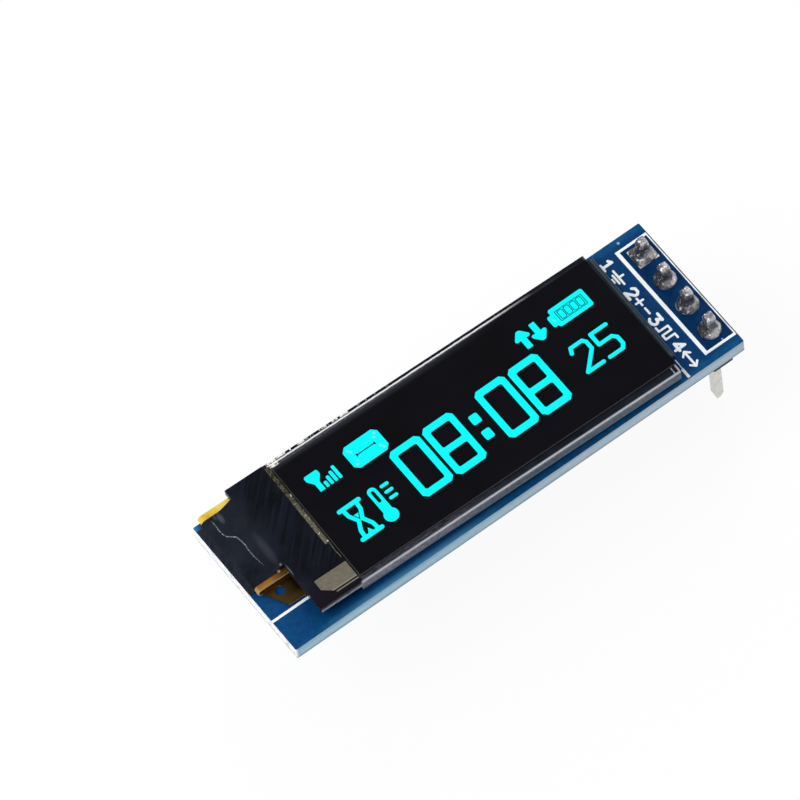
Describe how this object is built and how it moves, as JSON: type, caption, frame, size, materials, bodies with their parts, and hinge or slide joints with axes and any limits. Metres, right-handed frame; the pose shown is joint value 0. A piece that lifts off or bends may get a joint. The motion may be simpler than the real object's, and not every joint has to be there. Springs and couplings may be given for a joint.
{
  "type": "small oled display module",
  "caption": "Small display board: a dark glass panel with a folded flex tail and black tape on a blue circuit board, with a pin header at one end",
  "frame": {"origin": "middle of the pin row, on the lower face of the header's insulator", "axes": "+X along the board, from the flex tail's end to the header's end; +Y across it, towards pin 1; +Z out of the display's face"},
  "size_m": [0.038, 0.0123, 0.0111],
  "materials": {
    "board_blue": "blue solder mask over glass laminate, satin",
    "print_white": "white printed ink",
    "copper_tinned": "tinned copper",
    "pin_metal": "bright tin plate",
    "solder": "hand-soldered, dull and mottled",
    "moulding_black": "moulded, matte black",
    "panel_glass": "polished glass with cut edges",
    "seal_grey": "cured resin",
    "pixel_dark": "dark display layers with a lit cyan picture",
    "sheet_white": "plain white sheet",
    "polariser_black": "dark film, smooth",
    "silicon": "polished bare chip",
    "flex_amber": "amber polyimide film over copper",
    "tape_black": "black tape with fine slanting streaks",
    "patch_beige": "pale metallic coating seen through glass",
    "resin": "cured clear resin, speckled",
    "ceramic_tan": "fired ceramic, matte",
    "ceramic_white": "fired ceramic, matte"
  },
  "bodies": {
    "root": {"circuit_board": "board_blue", "board_print": "print_white", "pin_pad_1": "copper_tinned", "pin_pad_2": "copper_tinned", "pin_pad_3": "copper_tinned", "pin_pad_4": "copper_tinned", "header_pin_1": "pin_metal", "header_pin_2": "pin_metal", "header_pin_3": "pin_metal", "header_pin_4": "pin_metal", "pin_solder_1": "solder", "pin_solder_2": "solder", "pin_solder_3": "solder", "pin_solder_4": "solder", "header_insulator": "moulding_black", "panel_upper_glass": "panel_glass", "panel_lower_glass": "panel_glass", "panel_seal": "seal_grey", "pixel_layers": "pixel_dark", "desiccant_sheet": "sheet_white", "polariser": "polariser_black", "driver_chip": "silicon", "bond_film": "seal_grey", "flex_tail": "flex_amber", "flex_fingers": "copper_tinned", "board_lands": "copper_tinned", "black_tape": "tape_black", "contact_patch": "patch_beige", "resin_bead": "resin", "panel_adhesive": "sheet_white", "capacitor_1": "ceramic_tan", "capacitor_2": "ceramic_tan", "capacitor_3": "ceramic_tan", "capacitor_4": "ceramic_tan", "capacitor_5": "ceramic_tan", "capacitor_ends": "copper_tinned", "resistor_1": "ceramic_white", "resistor_2": "ceramic_white", "resistor_3": "ceramic_white", "resistor_4": "ceramic_white", "resistor_ends": "copper_tinned", "resistor_glaze": "moulding_black", "regulator_body": "moulding_black", "regulator_leads": "pin_metal", "diode_body": "moulding_black", "diode_leads": "pin_metal", "back_lands": "copper_tinned", "back_solder": "solder"}
  },
  "joints": []
}
